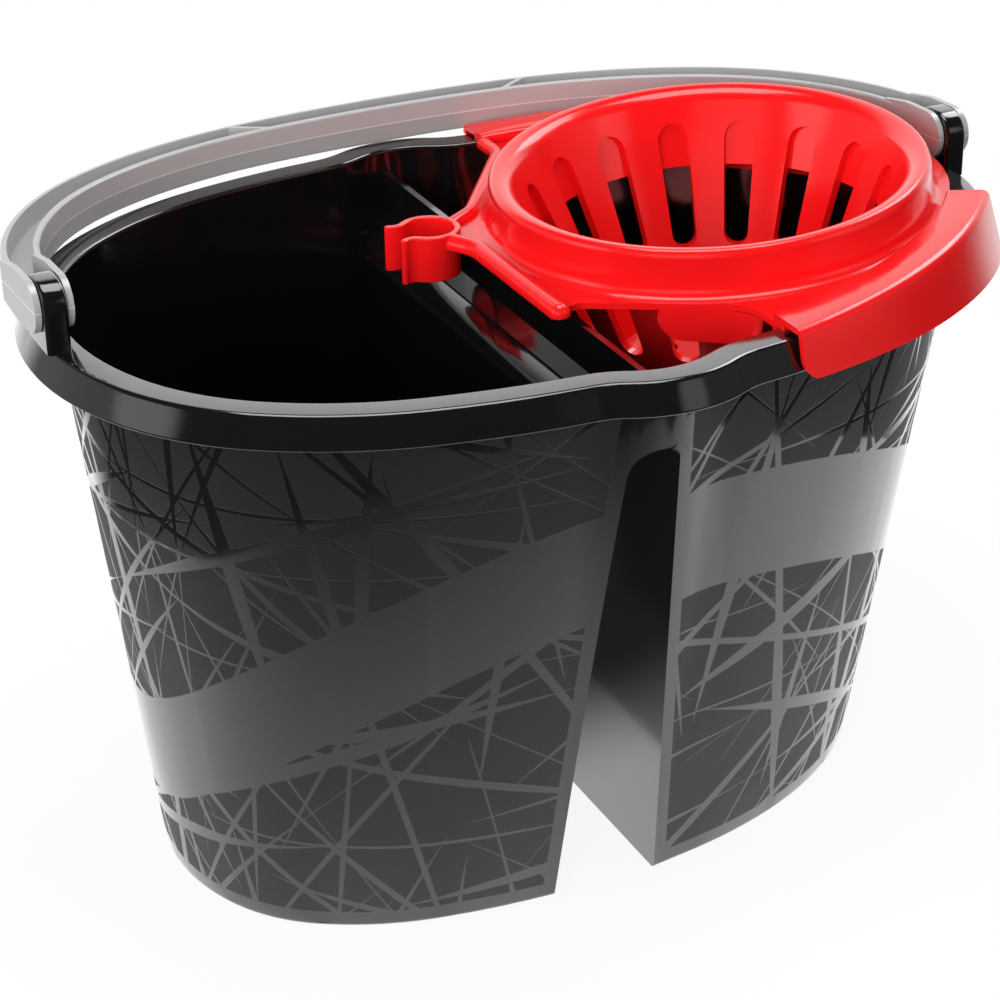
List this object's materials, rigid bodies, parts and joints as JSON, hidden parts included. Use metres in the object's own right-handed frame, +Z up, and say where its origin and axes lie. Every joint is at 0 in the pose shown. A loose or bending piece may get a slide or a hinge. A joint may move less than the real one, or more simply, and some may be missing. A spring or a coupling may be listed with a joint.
{
  "type": "mop bucket with wringer",
  "caption": "Oval two-chamber mop bucket with a swinging bail handle and a lift-out slotted wringer basket that hooks over the rim and carries a mop-stick clip.",
  "frame": {"origin": "on the floor, under the middle of the large chamber and on the bucket's middle plane", "axes": "+X along the bucket towards the wringer end, +Y towards the rear where the handle lies, +Z up"},
  "size_m": [0.3824, 0.2744, 0.2536],
  "materials": {
    "bucket_black": "gloss with a matte grained body",
    "wringer_red": "gloss",
    "handle_grey": "satin gloss"
  },
  "bodies": {
    "bucket": {"bucket": "bucket_black"},
    "wringer": {"wringer": "wringer_red"},
    "handle": {"handle": "handle_grey"}
  },
  "joints": [
    {"name": "handle_swing", "type": "hinge", "parent": "bucket", "child": "handle", "pos_m": [0, 0, 0.2416], "axis": [1, 0, 0], "range_deg": [0, 170]},
    {"name": "wringer_lift", "type": "slide", "parent": "bucket", "child": "wringer", "axis": [0, 0, 1], "range_m": [0, 0.13]}
  ]
}
